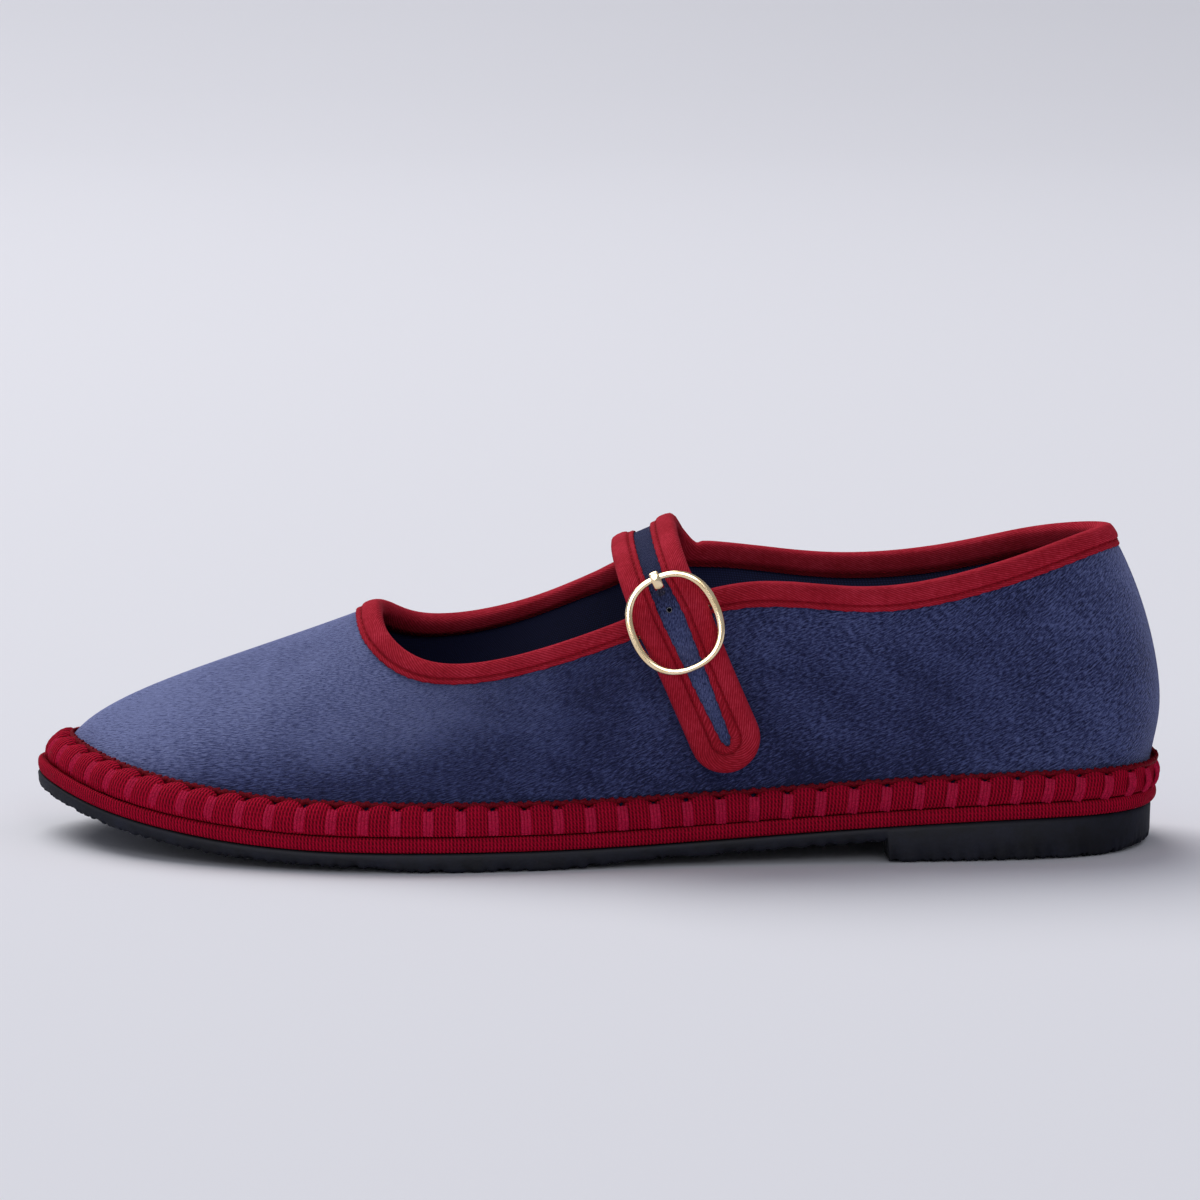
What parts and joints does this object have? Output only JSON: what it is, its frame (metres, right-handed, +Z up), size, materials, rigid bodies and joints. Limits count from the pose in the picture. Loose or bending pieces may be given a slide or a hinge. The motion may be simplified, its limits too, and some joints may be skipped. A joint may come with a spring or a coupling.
{
  "type": "mary jane ballet flat",
  "caption": "Left mary jane ballet flat in slate blue velvet with red tape edges, a stitched ribbon welt, a black rubber sole with a low heel and a small gold oval buckle.",
  "frame": {"origin": "on the floor, at the middle of the sole's length and width", "axes": "-X towards the toe, -Y the outer side of the foot, +Z up"},
  "size_m": [0.2524, 0.0872, 0.0729],
  "materials": {
    "rubber": "matte moulded",
    "ribbon": "ribbed grosgrain ribbon",
    "lining": "plain woven lining",
    "velvet": "cut pile velvet",
    "tape": "knitted binding tape",
    "gilt": "pale gilt, polished"
  },
  "bodies": {
    "root": {"outsole": "rubber", "midsole": "ribbon", "welt_band": "ribbon", "insole": "lining", "upper": "velvet", "strap": "velvet", "binding": "tape", "buckle_ring": "gilt", "buckle_prong": "gilt", "buckle_tab": "tape"}
  },
  "joints": []
}
